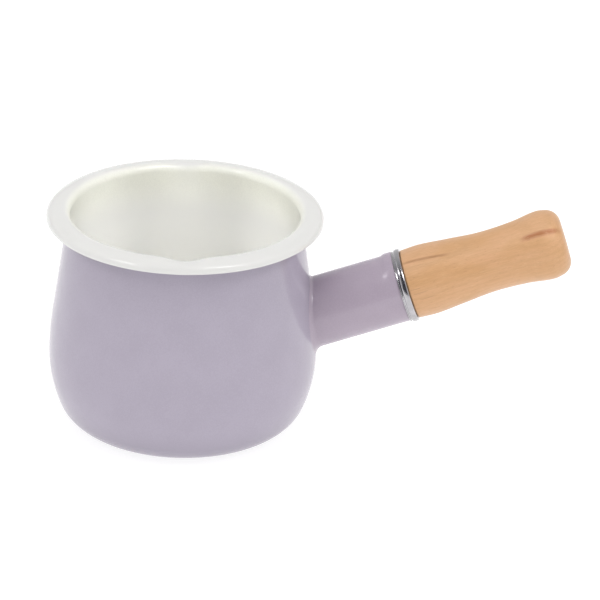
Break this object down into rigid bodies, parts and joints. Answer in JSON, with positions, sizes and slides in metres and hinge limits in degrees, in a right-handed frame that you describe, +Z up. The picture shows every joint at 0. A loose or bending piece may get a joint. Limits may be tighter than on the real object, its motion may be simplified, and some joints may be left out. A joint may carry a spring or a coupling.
{
  "type": "small enamel melting and pouring pot",
  "caption": "Small round-bellied enamelled steel pot with a rolled rim, two pouring spouts and a turned wooden handle in a welded socket.",
  "frame": {"origin": "centre of the flat underside of the base, on the surface that the pot stands on", "axes": "+Z up along the pot's axis, +X along the handle's side, spouts at +Y and -Y"},
  "size_m": [0.2593, 0.1362, 0.1126],
  "materials": {
    "lavender_enamel": "glossy lavender-grey vitreous enamel on steel",
    "white_enamel": "glossy off-white vitreous enamel inside the pot and over its rolled rim",
    "polished_steel": "mirror polished",
    "plated_steel": "zinc plated, satin",
    "handle_wood": "clear varnished beech, semi-gloss"
  },
  "bodies": {
    "root": {"pot_body": "lavender_enamel", "handle_socket": "lavender_enamel", "socket_weld": "lavender_enamel", "socket_bridge": "plated_steel", "bridge_nut": "plated_steel", "ferrule_ring": "polished_steel", "wooden_handle": "handle_wood", "handle_screw": "plated_steel", "screw_washer": "plated_steel", "lock_washer": "plated_steel"}
  },
  "joints": []
}
